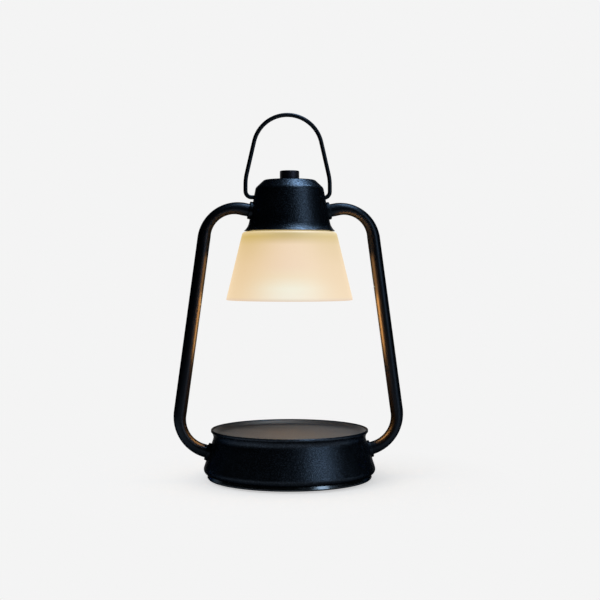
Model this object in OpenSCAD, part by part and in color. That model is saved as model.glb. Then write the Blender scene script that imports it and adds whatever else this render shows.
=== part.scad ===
// Electric warmer lamp in the shape of a small lantern.
// A round base carries two bent tube arms. They hold a cap with the bulb,
// and a frosted glass shade hangs under the cap.
// Millimetres. The origin is on the floor under the middle of the base,
// +Z is up, +X is towards the right arm and -Y is the front.

/* [Base] */
// Largest diameter of the base, over the bead at its foot
base_d = 140; // [120:1:180]
// Height of the lip above the floor
base_h = 41.2; // [38:0.2:60]
// Radius of the bead at the foot of the shell
bead_r = 4; // [2.5:0.5:4.5]
// Slope of the shell's side, in degrees from upright
side_slope = 18; // [8:1:20]
// Radius of the hollow neck under the lip
neck_r = 6; // [4:0.5:7]
// How far the lip stands out over the neck
lip_overhang = 2; // [1:0.1:3]
// Wall of the shell
base_wall = 2; // [1.5:0.1:2.8]
// Thickness of the deck under the plate
deck_t = 1.8; // [1.5:0.1:3]

/* [Bottom cover] */
// How far the feet stand out under the cover
foot_out = 1.5; // [1:0.1:3]
// Diameter of a foot
foot_d = 13; // [8:0.5:18]
// Depth of a foot's seat in the cover
foot_seat = 0.8; // [0.5:0.1:1]
// How far the middles of the feet stand in from the base's edge
foot_in = 16; // [14:0.5:24]
// Height of the cover's rim
cover_h = 4; // [3.6:0.1:6]
// Thickness of the cover's floor
cover_t = 2.4; // [2.2:0.1:3]
// How far the cover's rim stands in from the bead
cover_inset = 2.8; // [2:0.1:4]
// How far the cover screws stand in from the base's edge
screw_in = 13; // [12:0.5:20]

/* [Plate] */
// Depth of the dish, from the lip to its floor
dish_depth = 3.6; // [2.4:0.1:4.4]
// Width of the dish's sloping side
dish_slope_w = 4; // [3:0.1:8]
// Thickness of the plate
plate_t = 1.8; // [1.4:0.1:2.4]
// Width of the lip around the plate
lip_w = 1.3; // [1:0.1:2]
// Diameter of the stud under the plate
stud_d = 6; // [4:0.5:8]

/* [Cord inlet] */
// Height of the cord inlet
inlet_z = 16; // [15:0.5:18]
// Diameter of the hole for the cord
cord_hole_d = 6.8; // [5:0.2:8]

/* [Arms] */
// Diameter of an arm's tube
tube_d = 10; // [8:0.5:12]
// Wall of the tube
tube_wall = 1.2; // [0.8:0.1:1.6]
// How far the tube's middle reaches out past the base's edge
arm_out = 19.3; // [18:0.1:30]
// Radius of the lower bend
low_bend_r = 27.8; // [22:0.2:28]
// Radius of the upper bend
top_bend_r = 26; // [20:0.5:28]
// Height where an arm leaves the base
arm_base_z = 23.2; // [21:0.1:26]
// Height where an arm meets the cap, above the skirt's edge
arm_cap_dz = 16.3; // [14:0.1:17]
// Straight stretch between the cap and the upper bend
cap_run = 7.6; // [5:0.1:12]
// Diameter of a collar
collar_d = 14.4; // [13:0.1:16]
// Thickness of a collar
collar_t = 2.2; // [1.5:0.1:3]

/* [Cap] */
// Height of the cap's skirt above the floor
skirt_z = 202.6; // [190:0.2:220]
// Height of the cap
cap_h = 41.4; // [39:0.2:46]
// Diameter of the flat top
cap_top_d = 41.4; // [34:0.2:44]
// Diameter where the bevel meets the coned side
cap_shoulder_d = 55.2; // [53:0.2:60]
// Height of the bevel
cap_bevel_h = 6.5; // [4:0.1:8]
// Slope of the coned side, in degrees from upright
cap_slope = 10.9; // [8:0.1:12]
// Radius of the hollow flare above the skirt's edge
flare_r = 12; // [11.5:0.5:16]
// Height where the flare begins, above the skirt's edge
flare_h = 6.9; // [5:0.1:8]
// Wall of the cap
cap_wall = 1.5; // [1:0.1:1.8]

/* [Shade] */
// Diameter of the shade's open mouth
mouth_d = 103.4; // [90:0.2:120]
// Diameter of the shade where its side meets the top
crown_d = 76; // [74:0.2:80]
// Height of the shade
shade_h = 55.6; // [46:0.2:70]
// Thickness of the glass
glass_t = 2.5; // [2:0.1:4]
// Inner radius of the shade's upper edge
crown_inner_r = 0.6; // [0.3:0.1:3]
// Gap between the cap's skirt and the glass
skirt_gap = 0.7; // [0.4:0.1:2]
// Thickness of the gasket on the glass
gasket_t = 1.2; // [0.8:0.1:2]

/* [Bulb] */
// Diameter of the bulb's face
bulb_d = 50; // [46:0.5:51]
// Length of the bulb, from its shoulder to its face
bulb_len = 47; // [40:0.5:50]
// Distance between the middles of the pins
pin_gap = 10; // [9:0.5:11]

/* [Dimmer] */
// Diameter of the knob
knob_d = 15.8; // [15.6:0.1:24]
// Height of the knob
knob_h = 7.1; // [6:0.1:12]
// Diameter of the dimmer's shaft
shaft_d = 6; // [4:0.5:6.5]
// Diameter of the dimmer's body
dimmer_d = 17; // [14:0.5:22]
// Height of the dimmer's body
dimmer_h = 9; // [7:0.2:9.4]

/* [Bail] */
// Diameter of the wire
wire_d = 3; // [2:0.1:4]
// Height of the bail's pivot above the skirt's edge
pivot_dz = 27.1; // [26.6:0.1:28]
// Height from the pivot to the middle of the wire at the top
bail_rise = 67; // [55:0.5:90]
// Radius of the arch, to the middle of the wire
arch_r = 28.2; // [26:0.1:34]
// Radius of the slow bend at the foot of a leg
sweep_r = 42; // [36:1:50]
// Height above the pivot where that slow bend ends
sweep_dz = 10; // [8:0.5:16]
// Radius of the corner above a pivot pin
corner_r = 5; // [4:0.1:6]
// How far the bail can slide to either side in its holes; it lies slid to the left
bail_play = 1.4; // [0.4:0.1:1.6]

/* [Hidden] */
$fn = 96;
seat_gap = 0.05;    // between parts that are screwed or clamped together
slip_gap = 0.1;     // round a part that passes through a hole
run_gap = 0.05;     // round a part that turns in a hole
free_gap = 0.3;     // between parts that move past each other
cut = 1;            // how far a cutting shape runs past a face
rod_lap = 0.1;      // how far a straight stretch of a rod reaches into a bend
rod_step = 0.02;    // how much thinner a straight stretch is than a bend

// Heights, from the floor up
cover_z = foot_out;
shell_z = cover_z + cover_h;
floor_z = cover_z + cover_t;
plate_top_z = base_h - dish_depth;
deck_top_z = plate_top_z - plate_t;
deck_z = deck_top_z - deck_t;

// Outline of the base
bead_c = [base_d / 2 - bead_r, shell_z + 0.9 * bead_r];
bead_edge = bead_c + bead_r * [cos(side_slope), sin(side_slope)];
neck_z = base_h - 1.05 * neck_r;
neck_edge_z = neck_z - neck_r * sin(side_slope);
neck_edge = [side_r(neck_edge_z), neck_edge_z];
neck_c = neck_edge + neck_r * [cos(side_slope), sin(side_slope)];
lip_r = neck_c[0] - neck_r + lip_overhang;
cover_r = base_d / 2 - cover_inset;
pocket_r = lip_r - lip_w;
pocket_floor_r = pocket_r - dish_slope_w;
rim_inner_r = side_r(shell_z + 3 * bead_r) - base_wall / cos(side_slope);
spigot_h = 2.5;     // how far the cover reaches up inside the shell
stud_len = 8;
washer_t = 1;
nut_k = 0.8;        // a nut's thickness over its thread's radius

// Feet and cover screws
foot_ring_r = base_d / 2 - foot_in;
screw_ring_r = base_d / 2 - screw_in;
foot_angles = [45, 135, 225, 315];
screw_angles = [20, 160, 200, 340];
screw_d = 3;
screw_head_d = 5.8;
screw_head_h = 1.4;
screw_len = 12;
boss_d = 7.6;

// Cord inlet
inlet_wall = 2.4;
inlet_deep = 3.2;    // depth of the flat pocket
inlet_room = 1.2;    // round the grommet's flange
inlet_rim = 1.5;     // of the thickening round the pocket
grommet_wall = 1.6;
grommet_lip = 2;     // how far a flange stands out
grommet_flange_t = 1.5;
inlet_face_y = side_r(inlet_z) - inlet_deep;
grommet_waist_d = cord_hole_d + 2 * grommet_wall;
grommet_flange_d = grommet_waist_d + 2 * grommet_lip;
inlet_pocket_d = grommet_flange_d + 2 * inlet_room;

// Terminal block
block = [18, 19, 13];
block_x = -25;
block_post_d = 6;
block_post_y = 4.8;

// Outline of the cap
cap_top_z = skirt_z + cap_h;
shoulder_z = cap_top_z - cap_bevel_h;
bevel_slope = atan2((cap_shoulder_d - cap_top_d) / 2, cap_bevel_h);
flare_z = skirt_z + flare_h;
flare_edge = [cap_r(flare_z), flare_z];
flare_c = flare_edge + flare_r * [cos(cap_slope), sin(cap_slope)];
cap_ceiling_z = cap_top_z - cap_wall;

// Arms
arm_reach = base_d / 2 + arm_out;
arm_cap_z = skirt_z + arm_cap_dz;
base_dir = [cos(side_slope), sin(side_slope)];
cap_dir = [cos(cap_slope), sin(cap_slope)];
base_point = [side_r(arm_base_z), arm_base_z];
cap_point = [cap_r(arm_cap_z), arm_cap_z];
base_run = (arm_reach - base_point[0] - low_bend_r * (1 - sin(side_slope))) / cos(side_slope);
low_c = base_point + base_run * base_dir + low_bend_r * [-sin(side_slope), cos(side_slope)];
top_c = cap_point + cap_run * cap_dir + top_bend_r * [sin(cap_slope), -cos(cap_slope)];
centres = top_c - low_c;
arm_lean = atan2(centres[1], centres[0]) - acos((low_bend_r - top_bend_r) / norm(centres));
leg_from = low_c + low_bend_r * [cos(arm_lean), sin(arm_lean)];
leg_to = top_c + top_bend_r * [cos(arm_lean), sin(arm_lean)];
ear_t = 1.2;
ear_w = 16;
arm_nut_af = tube_d + 4;
arm_nut_t = 3.5;
arm_washer_d = tube_d + 5;
saddle_t = 1;       // a saddle washer's least thickness
thread_out = 0.8;   // how far an arm's end stands out of its nut
base_inner_r = base_point[0] - base_wall / cos(side_slope);
cap_inner_r = cap_point[0] - (cap_wall + ear_t + seat_gap) / cos(cap_slope);
base_saddle = saddle_t + bow(base_inner_r, arm_washer_d / 2);
cap_saddle = saddle_t + bow(cap_inner_r, arm_washer_d / 2);
base_depth = base_wall + base_saddle + arm_nut_t + thread_out;
cap_depth = cap_wall + ear_t + seat_gap + cap_saddle + arm_nut_t + thread_out;

// Shade and what carries it
shade_top_z = skirt_z - skirt_gap;
mouth_z = shade_top_z - shade_h;
shade_slope = atan2((mouth_d - crown_d) / 2, shade_h);
crown_r = crown_inner_r + glass_t;
gasket_z = shade_top_z;
carrier_z = gasket_z + gasket_t;
carrier_t = 1.4;
carrier_top_z = carrier_z + carrier_t;
sleeve_r = 20.5;
sleeve_t = 1.3;
sleeve_h = glass_t + gasket_t + 5;
ring_r = 29;
ring_h = 3;
glass_hole_r = sleeve_r + 0.4;
gasket_r = ring_r + 1;
carrier_r = gasket_r + 1.5;
ear_top_z = arm_cap_z + ear_w / 2 - 1;

// Lamp holder and bulb
holder_r = 14;
holder_h = 13.4;
holder_ear = [42, 9, 5];
holder_screw_y = 17;
neck_hole_r = 12.5;
pin_d = 5;
pin_len = 7;
pin_neck_d = 3;
shoulder_bulb_z = carrier_top_z - free_gap;
face_z = shoulder_bulb_z - bulb_len;
bulb_base_r = 11;
bulb_base_h = 12;
reflector_t = 1.1;
lens_t = 2;
capsule_r = 5;
capsule_len = 24;

// Dimmer
dimmer_z = cap_ceiling_z - dimmer_h;
board_t = 1.6;
board_r = 16;
board_z = dimmer_z - board_t;
bush_d = shaft_d + 3;
bush_top_z = cap_top_z + 2.6;
dimmer_nut_af = bush_d + 2;
dimmer_nut_t = 2;
knob_z = cap_top_z + free_gap;
knob_top_z = knob_z + knob_h;
knob_wall = 1;
knob_roof = 3.2;
shaft_z = dimmer_z + 2.5;

// Bail
pivot_z = skirt_z + pivot_dz;
pivot_r = cap_r(pivot_z);
arch_z = pivot_z + bail_rise - arch_r;
bend_in = 1;        // how far inside the cap's face a corner may begin
hole_edge = 0.4;    // eased edge of the bail's holes
pin_out = 1;        // how far a pin stands out of its stop
stop_d = 7;
stop_t = 1;
bend_x = pivot_r - bend_in + bail_play;
side_x = bend_x + corner_r;
corner_c = [bend_x, pivot_z + corner_r];
sweep_c = [side_x - sweep_r, pivot_z + sweep_dz];
arch_c = [0, arch_z];
arch_from = arch_c - sweep_c;
leg_lean = atan2(arch_from[1], arch_from[0]) - acos((sweep_r - arch_r) / norm(arch_from));
leg_n = [cos(leg_lean), sin(leg_lean)];
stop_x = hollow_r(pivot_z + stop_d / 2) - bow(pivot_r - cap_wall, stop_d / 2) - free_gap - bail_play;
pin_end_x = stop_x - stop_t - pin_out;

// Leads
lead_d = 2;
lead_y = 1.9;
lead_turn_r = 8;
lead_hole_gap = 0.3;
lead_bite = 3.5;
board_lead_x = 8;

// Radius of the base's coned side at height z
function side_r(z) = bead_edge[0] - (z - bead_edge[1]) * tan(side_slope);

// Radius of the cap's coned side at height z
function cap_r(z) = cap_shoulder_d / 2 + (shoulder_z - z) * tan(cap_slope);

// Radius of the cap's hollow at height z, on its coned stretch
function hollow_r(z) = cap_r(z) - cap_wall / cos(cap_slope);

// How far a round wall of radius r bows over half a chord
function bow(r, half) = r - sqrt(r * r - half * half);

// ---------------------------------------------------------------- helpers

// Upright cylinder between two heights
module post(r, z0, z1) {
    translate([0, 0, z0]) cylinder(r = r, h = z1 - z0);
}

// Upright ring between two heights
module ring(r_out, r_in, z0, z1) {
    difference() {
        post(r_out, z0, z1);
        post(r_in, z0 - cut, z1 + cut);
    }
}

// Hexagonal nut with a round hole, from z0 up
module hex_nut(af, hole_r, z0, t) {
    difference() {
        translate([0, 0, z0]) cylinder(r = af / sqrt(3), h = t, $fn = 6);
        post(hole_r, z0 - cut, z0 + t + cut);
    }
}

// Puts a shape drawn along +Z on the line through p, pointing along dir (both in XZ)
module along(p, dir) {
    translate([p[0], 0, p[1]]) rotate([0, atan2(dir[0], dir[1]), 0]) children();
}

// Stretch of a bent rod in the XZ plane: an arc about c, between two angles
module rod_arc(c, r, from, to, rod_r) {
    translate([c[0], 0, c[1]])
        rotate([90, 0, 0])
            rotate_extrude(angle = to - from, start = from) translate([r, 0]) circle(r = rod_r);
}

// Straight stretch of a rod in the XZ plane, between two points.
// It is a hair thinner than the bends and reaches a hair into them, so the two join cleanly.
module rod_line(a, b, rod_r) {
    dir = (b - a) / norm(b - a);
    along(a - rod_lap * dir, dir) cylinder(r = rod_r - rod_step, h = norm(b - a) + 2 * rod_lap);
}

// Repeats its children on both sides of the lamp
module both_sides() {
    children();
    mirror([1, 0, 0]) children();
}

// Half plane on the inner side of a sloping line, for turned outlines
module inside_of(point, slope, inset) {
    intersection() {
        translate(point) rotate(slope) translate([-400 - inset, -300]) square([400, 600]);
        translate([0, -50]) square([400, 400]);
    }
}

// ---------------------------------------------------------------- outlines

// Outline of the base shell's outside, as a half section
module base_outline() {
    difference() {
        union() {
            polygon([
                [0, shell_z], [bead_c[0], shell_z], bead_c, bead_edge,
                neck_edge, [neck_edge[0], base_h], [0, base_h]
            ]);
            intersection() {
                translate(bead_c) circle(r = bead_r);
                translate([0, shell_z]) square([base_d, base_h]);
            }
            translate([0, neck_edge_z]) square([lip_r, base_h - lip_w / 2 - neck_edge_z]);
            translate([0, neck_edge_z]) square([lip_r - lip_w / 2, base_h - neck_edge_z]);
            translate([lip_r - lip_w / 2, base_h - lip_w / 2]) circle(r = lip_w / 2);
        }
        translate(neck_c) circle(r = neck_r);
    }
}

// Outline of the hollow under the deck, drawn in by inset
module base_hollow(inset) {
    intersection() {
        inside_of(bead_edge, side_slope, base_wall + inset);
        translate([0, shell_z - cut]) square([rim_inner_r - inset, deck_z - inset - shell_z + cut]);
    }
}

// Outline of the cap, drawn in by inset
module cap_outline(inset) {
    drop = inset == 0 ? 0 : cut;
    intersection() {
        inside_of([cap_shoulder_d / 2, shoulder_z], cap_slope, inset);
        inside_of([cap_shoulder_d / 2, shoulder_z], bevel_slope, inset);
        translate([0, skirt_z - drop]) square([base_d, cap_h - inset + drop]);
    }
    // The flare, down from the coned side
    difference() {
        translate([0, skirt_z - drop]) square([flare_c[0] - inset, flare_h + drop]);
        translate(flare_c) circle(r = flare_r + inset);
    }
}

// ---------------------------------------------------------------- base

module base_shell() {
    boss_top = deck_z + cut / 2;
    color([0.03, 0.03, 0.035]) difference() {
        union() {
            difference() {
                rotate_extrude() base_outline();
                rotate_extrude() base_hollow(0);
            }
            for (a = screw_angles)
                rotate(a) translate([screw_ring_r, 0, 0]) post(boss_d / 2, shell_z, boss_top);
            inlet_boss();
        }
        // Dish for the plate
        translate([0, 0, deck_top_z])
            cylinder(r1 = pocket_floor_r, r2 = pocket_r, h = base_h - deck_top_z - lip_w / 2);
        post(pocket_r, base_h - lip_w / 2 - 0.01, base_h + cut);
        post(stud_d / 2 + slip_gap, deck_z - cut, deck_top_z + cut);
        for (a = screw_angles)
            rotate(a) translate([screw_ring_r, 0, 0])
                post(screw_d / 2 + seat_gap, shell_z - cut, shell_z + screw_len);
        both_sides() along(base_point, base_dir)
            translate([0, 0, -4 * base_wall]) cylinder(r = tube_d / 2 + slip_gap, h = 8 * base_wall);
        // Flat pocket and hole for the cord grommet
        translate([0, inlet_face_y, inlet_z])
            rotate([-90, 0, 0]) cylinder(d = inlet_pocket_d, h = base_d);
        translate([0, inlet_face_y - inlet_wall - cut, inlet_z])
            rotate([-90, 0, 0]) cylinder(d = grommet_waist_d + 2 * seat_gap, h = base_d);
    }
}

// Thickening behind the flat pocket of the cord inlet, kept inside the shell
module inlet_boss() {
    intersection() {
        rotate_extrude() base_outline();
        translate([0, inlet_face_y - inlet_wall, inlet_z])
            rotate([-90, 0, 0]) cylinder(d = inlet_pocket_d + 2 * inlet_rim, h = base_d);
        post(base_d, shell_z + spigot_h + free_gap, base_h);
    }
}

module warming_plate() {
    rim_z = base_h - lip_w / 2;
    color([0.13, 0.13, 0.14]) {
        difference() {
            translate([0, 0, deck_top_z])
                cylinder(r1 = pocket_floor_r - slip_gap, r2 = pocket_r - slip_gap, h = rim_z - deck_top_z);
            translate([0, 0, plate_top_z])
                cylinder(
                    r1 = pocket_floor_r - 0.6,
                    r2 = pocket_r - slip_gap - 1,
                    h = rim_z - plate_top_z + 0.001
                );
        }
        post(stud_d / 2, deck_top_z - stud_len, deck_top_z + 0.5);
    }
}

module plate_washer() {
    color("silver") ring(stud_d, stud_d / 2 + seat_gap, deck_z - washer_t, deck_z);
}

module plate_nut() {
    nut_t = nut_k * stud_d;
    color("silver") hex_nut(1.7 * stud_d, stud_d / 2 + seat_gap, deck_z - washer_t - nut_t, nut_t);
}

module bottom_cover() {
    edge = 0.8;
    spigot_r = rim_inner_r - slip_gap;
    spigot_z = shell_z + spigot_h;
    color([0.02, 0.02, 0.025]) difference() {
        union() {
            difference() {
                union() {
                    translate([0, 0, cover_z]) cylinder(r1 = cover_r - edge, r2 = cover_r, h = edge);
                    post(cover_r, cover_z + edge, shell_z);
                    post(spigot_r, cover_z + edge, spigot_z);
                }
                post(spigot_r - 1.8, floor_z, spigot_z + cut);
            }
            for (a = screw_angles)
                rotate(a) translate([screw_ring_r, 0, 0]) post(boss_d / 2, floor_z - 0.5, shell_z);
        }
        for (a = foot_angles)
            rotate(a) translate([foot_ring_r, 0, 0])
                post(foot_d / 2 + seat_gap, cover_z - cut, cover_z + foot_seat);
        for (a = screw_angles)
            rotate(a) translate([screw_ring_r, 0, 0]) {
                post(screw_d / 2 + slip_gap, cover_z - cut, shell_z + cut);
                post(screw_head_d / 2 + slip_gap, cover_z - cut, cover_z + screw_head_h + 0.2);
            }
    }
}

module cover_screws() {
    head_z = cover_z + 0.2;
    color("silver") for (a = screw_angles)
        rotate(a) translate([screw_ring_r, 0, 0]) difference() {
            union() {
                post(screw_head_d / 2, head_z, head_z + screw_head_h);
                post(screw_d / 2, head_z, head_z + screw_head_h + screw_len - 3);
            }
            translate([-0.4, -screw_head_d / 3, head_z - cut])
                cube([0.8, 2 * screw_head_d / 3, cut + 0.7]);
            translate([-screw_head_d / 3, -0.4, head_z - cut])
                cube([2 * screw_head_d / 3, 0.8, cut + 0.7]);
        }
}

module feet() {
    edge = 0.5;
    color([0.1, 0.1, 0.1]) for (a = foot_angles)
        rotate(a) translate([foot_ring_r, 0, 0]) {
            cylinder(d1 = foot_d - 2 * edge, d2 = foot_d, h = edge);
            post(foot_d / 2, edge, cover_z + foot_seat);
        }
}

module cord_grommet() {
    back_y = inlet_face_y - inlet_wall;
    color([0.05, 0.05, 0.05]) translate([0, 0, inlet_z]) rotate([-90, 0, 0]) difference() {
        union() {
            post(grommet_flange_d / 2, inlet_face_y, inlet_face_y + grommet_flange_t);
            post(grommet_waist_d / 2, back_y, inlet_face_y);
            post(grommet_flange_d / 2 - 0.5, back_y - grommet_flange_t, back_y);
        }
        post(cord_hole_d / 2, back_y - grommet_flange_t - cut, inlet_face_y + grommet_flange_t + cut);
    }
}

module terminal_block() {
    color([0.85, 0.85, 0.8]) difference() {
        translate([block_x - block[0] / 2, -block[1] / 2, floor_z]) cube(block);
        for (y = [-block_post_y, block_post_y])
            translate([block_x, y, 0]) post(block_post_d / 2 + seat_gap, floor_z + 4, floor_z + block[2] + cut);
        for (side = [-1, 1])
            mirror([1, 0, 0]) translate([0, side * lead_y, 0])
                along(base_point, -base_dir) cylinder(r = lead_d / 2 + lead_hole_gap, h = block_reach());
    }
}

// Length along the arm's axis from the base's wall to the ends of the leads in the block
function block_reach() = (base_point[0] + block_x - block[0] / 2) / base_dir[0] + lead_bite;

module terminal_screws() {
    color([0.8, 0.65, 0.3]) for (y = [-block_post_y, block_post_y])
        translate([block_x, y, 0]) difference() {
            post(block_post_d / 2, floor_z + 4, floor_z + block[2] - 0.6);
            translate([-block_post_d, -0.5, floor_z + block[2] - 1.8]) cube([2 * block_post_d, 1, 2]);
        }
}

// ---------------------------------------------------------------- arms

// The whole rod of an arm, of any radius, so that its bore is cut the same way
module arm_rod(rod_r, longer) {
    low_end = base_point - (base_depth + longer) * base_dir;
    top_end = cap_point - (cap_depth + longer) * cap_dir;
    low_start = low_c + low_bend_r * [sin(side_slope), -cos(side_slope)];
    top_start = top_c + top_bend_r * [-sin(cap_slope), cos(cap_slope)];
    rod_line(low_end, low_start, rod_r);
    rod_arc(low_c, low_bend_r, side_slope - 90, arm_lean, rod_r);
    rod_line(leg_from, leg_to, rod_r);
    rod_arc(top_c, top_bend_r, arm_lean, 90 + cap_slope, rod_r);
    rod_line(top_start, top_end, rod_r);
}

module arm() {
    color([0.03, 0.03, 0.035]) difference() {
        arm_rod(tube_d / 2, 0);
        arm_rod(tube_d / 2 - tube_wall, cut);
    }
}

module left_arm() {
    mirror([1, 0, 0]) arm();
}

module right_arm() {
    arm();
}

// Collar against the base, hollowed to sit on its coned side
module base_collar() {
    color([0.03, 0.03, 0.035]) difference() {
        along(base_point, base_dir)
            translate([0, 0, -2]) cylinder(d = collar_d, h = collar_t + 2);
        along(base_point, base_dir)
            translate([0, 0, -5]) cylinder(r = tube_d / 2 + seat_gap, h = collar_t + 10);
        rotate_extrude($fn = 360) inside_of(bead_edge, side_slope, -seat_gap);
    }
}

// Collar against the cap, hollowed to sit on its coned side
module cap_collar() {
    color([0.03, 0.03, 0.035]) difference() {
        along(cap_point, cap_dir)
            translate([0, 0, -3]) cylinder(d = collar_d, h = collar_t + 3);
        along(cap_point, cap_dir)
            translate([0, 0, -5]) cylinder(r = tube_d / 2 + seat_gap, h = collar_t + 10);
        rotate_extrude($fn = 360) cap_outline(-seat_gap);
    }
}

module left_base_collar() {
    mirror([1, 0, 0]) base_collar();
}

module right_base_collar() {
    base_collar();
}

module left_cap_collar() {
    mirror([1, 0, 0]) cap_collar();
}

module right_cap_collar() {
    cap_collar();
}

module base_saddle_washers() {
    face = base_wall + base_saddle;
    color("silver") both_sides() intersection() {
        along(base_point - face * base_dir, base_dir) difference() {
            cylinder(d = arm_washer_d, h = base_saddle + 1);
            translate([0, 0, -cut]) cylinder(r = tube_d / 2 + seat_gap, h = base_saddle + 4);
        }
        rotate_extrude($fn = 360) base_hollow(seat_gap);
    }
}

module base_arm_nuts() {
    face = base_wall + base_saddle + arm_nut_t;
    color("silver") both_sides() along(base_point - face * base_dir, base_dir)
        rotate(30) hex_nut(arm_nut_af, tube_d / 2 + seat_gap, 0, arm_nut_t);
}

module cap_saddle_washers() {
    face = cap_wall + ear_t + seat_gap + cap_saddle;
    color("silver") both_sides() intersection() {
        along(cap_point - face * cap_dir, cap_dir) difference() {
            cylinder(d = arm_washer_d, h = cap_saddle + 1);
            translate([0, 0, -cut]) cylinder(r = tube_d / 2 + seat_gap, h = cap_saddle + 4);
        }
        rotate_extrude($fn = 360) cap_outline(cap_wall + ear_t + 2 * seat_gap);
    }
}

module cap_arm_nuts() {
    face = cap_wall + ear_t + seat_gap + cap_saddle + arm_nut_t;
    color("silver") both_sides() along(cap_point - face * cap_dir, cap_dir)
        rotate(30) hex_nut(arm_nut_af, tube_d / 2 + seat_gap, 0, arm_nut_t);
}

// ---------------------------------------------------------------- cap

module cap() {
    bore_r = wire_d / 2 + run_gap;
    color([0.03, 0.03, 0.035]) difference() {
        rotate_extrude() difference() {
            cap_outline(0);
            cap_outline(cap_wall);
        }
        post(bush_d / 2 + slip_gap, cap_ceiling_z - cut, cap_top_z + cut);
        both_sides() {
            along(cap_point, cap_dir)
                translate([0, 0, -4 * cap_wall]) cylinder(r = tube_d / 2 + slip_gap, h = 8 * cap_wall);
            translate([pin_end_x - cut, 0, pivot_z]) rotate([0, 90, 0]) cylinder(r = bore_r, h = pivot_r);
            translate([pivot_r - hole_edge, 0, pivot_z])
                rotate([0, 90, 0]) cylinder(r1 = bore_r, r2 = bore_r + 3 * hole_edge, h = 3 * hole_edge);
        }
    }
}

// Plate over the glass, with a threaded sleeve below it and two ears behind the arm nuts
module shade_carrier() {
    color("lightgray") difference() {
        union() {
            ring(carrier_r, neck_hole_r, carrier_z, carrier_top_z);
            ring(sleeve_r, sleeve_r - sleeve_t, carrier_z - sleeve_h, carrier_z + carrier_t / 2);
            both_sides() carrier_ear();
        }
        both_sides() along(cap_point, cap_dir)
            translate([0, 0, -15]) cylinder(r = tube_d / 2 + slip_gap, h = 20);
        for (y = [-holder_screw_y, holder_screw_y])
            translate([0, y, 0]) post(screw_d / 2 + slip_gap, carrier_z - cut, carrier_top_z + cut);
    }
}

// Ear that follows the cap's wall from the carrier's edge up past the arm's end
module carrier_ear() {
    intersection() {
        rotate_extrude() difference() {
            cap_outline(cap_wall + seat_gap);
            cap_outline(cap_wall + seat_gap + ear_t);
        }
        translate([0, -ear_w / 2, carrier_z]) cube([2 * cap_r(skirt_z), ear_w, ear_top_z - carrier_z]);
    }
    translate([carrier_r - 4, -ear_w / 2, carrier_z])
        cube([hollow_r(carrier_top_z) - carrier_r + 4, ear_w, carrier_t]);
}

module dimmer_body() {
    color([0.2, 0.3, 0.55]) difference() {
        union() {
            post(dimmer_d / 2, dimmer_z, cap_ceiling_z);
            post(bush_d / 2, cap_ceiling_z, bush_top_z);
        }
        post(shaft_d / 2 + run_gap, shaft_z - free_gap, bush_top_z + cut);
    }
}

module dimmer_board() {
    color([0.1, 0.35, 0.2]) post(board_r, board_z, dimmer_z);
}

module dimmer_nut() {
    color("silver") hex_nut(dimmer_nut_af, bush_d / 2 + seat_gap, cap_top_z, dimmer_nut_t);
}

module dimmer_shaft() {
    color("silver") post(shaft_d / 2, shaft_z, knob_top_z - 1.2);
}

module dimmer_knob() {
    edge = 0.6;
    color([0.03, 0.03, 0.035]) difference() {
        union() {
            post(knob_d / 2, knob_z, knob_top_z - edge);
            translate([0, 0, knob_top_z - edge])
                cylinder(d1 = knob_d, d2 = knob_d - 2 * edge, h = edge);
        }
        post(knob_d / 2 - knob_wall, knob_z - cut, knob_top_z - knob_roof);
        post(shaft_d / 2 + seat_gap / 2, knob_z, knob_top_z - 1.2);
    }
}

// ---------------------------------------------------------------- shade and bulb

// Outline of the shade's outside; the inside is the same, drawn in by the glass
module shade_outline(inset) {
    drop = inset == 0 ? 0 : cut;
    r = crown_r - inset;
    // Middle of the rounded upper edge, touching both the top and the side
    mid = [
        crown_d / 2 - crown_r * (1 / cos(shade_slope) - tan(shade_slope)),
        shade_top_z - crown_r
    ];
    edge = mid + r * [cos(shade_slope), sin(shade_slope)];
    low_r = mouth_d / 2 - inset / cos(shade_slope) + drop * tan(shade_slope);
    union() {
        polygon([
            [0, mouth_z - drop], [low_r, mouth_z - drop], edge, mid, [mid[0], shade_top_z - inset],
            [0, shade_top_z - inset]
        ]);
        translate(mid) circle(r = r);
    }
}

module glass_shade() {
    color([0.98, 0.88, 0.7, 0.9]) difference() {
        rotate_extrude() difference() {
            shade_outline(0);
            shade_outline(glass_t);
        }
        post(glass_hole_r, shade_top_z - glass_t - cut, shade_top_z + cut);
    }
}

module shade_gasket() {
    color([0.9, 0.9, 0.88]) ring(gasket_r, glass_hole_r, gasket_z, gasket_z + gasket_t);
}

module shade_ring() {
    ring_z = shade_top_z - glass_t - ring_h;
    color("lightgray") ring(ring_r, sleeve_r + seat_gap, ring_z, ring_z + ring_h);
}

module lamp_holder() {
    color([0.93, 0.92, 0.88]) difference() {
        union() {
            post(holder_r, carrier_top_z, carrier_top_z + holder_h);
            translate([-holder_ear[1] / 2, -holder_ear[0] / 2, carrier_top_z])
                cube([holder_ear[1], holder_ear[0], holder_ear[2]]);
        }
        for (x = [-pin_gap / 2, pin_gap / 2])
            translate([x, 0, 0])
                post(pin_d / 2 + 0.4, carrier_top_z - cut, carrier_top_z + pin_len + 1);
        for (y = [-holder_screw_y, holder_screw_y])
            translate([0, y, 0])
                post(screw_d / 2 + slip_gap, carrier_top_z - cut, carrier_top_z + holder_ear[2] + cut);
    }
}

module holder_screws() {
    head_z = carrier_top_z + holder_ear[2];
    color("silver") for (y = [-holder_screw_y, holder_screw_y])
        translate([0, y, 0]) difference() {
            union() {
                post(screw_d / 2, carrier_z - 1.5, head_z + 1);
                post(screw_head_d / 2, head_z, head_z + 2);
            }
            translate([-0.4, -screw_head_d, head_z + 1.2]) cube([0.8, 2 * screw_head_d, cut]);
        }
}

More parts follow.
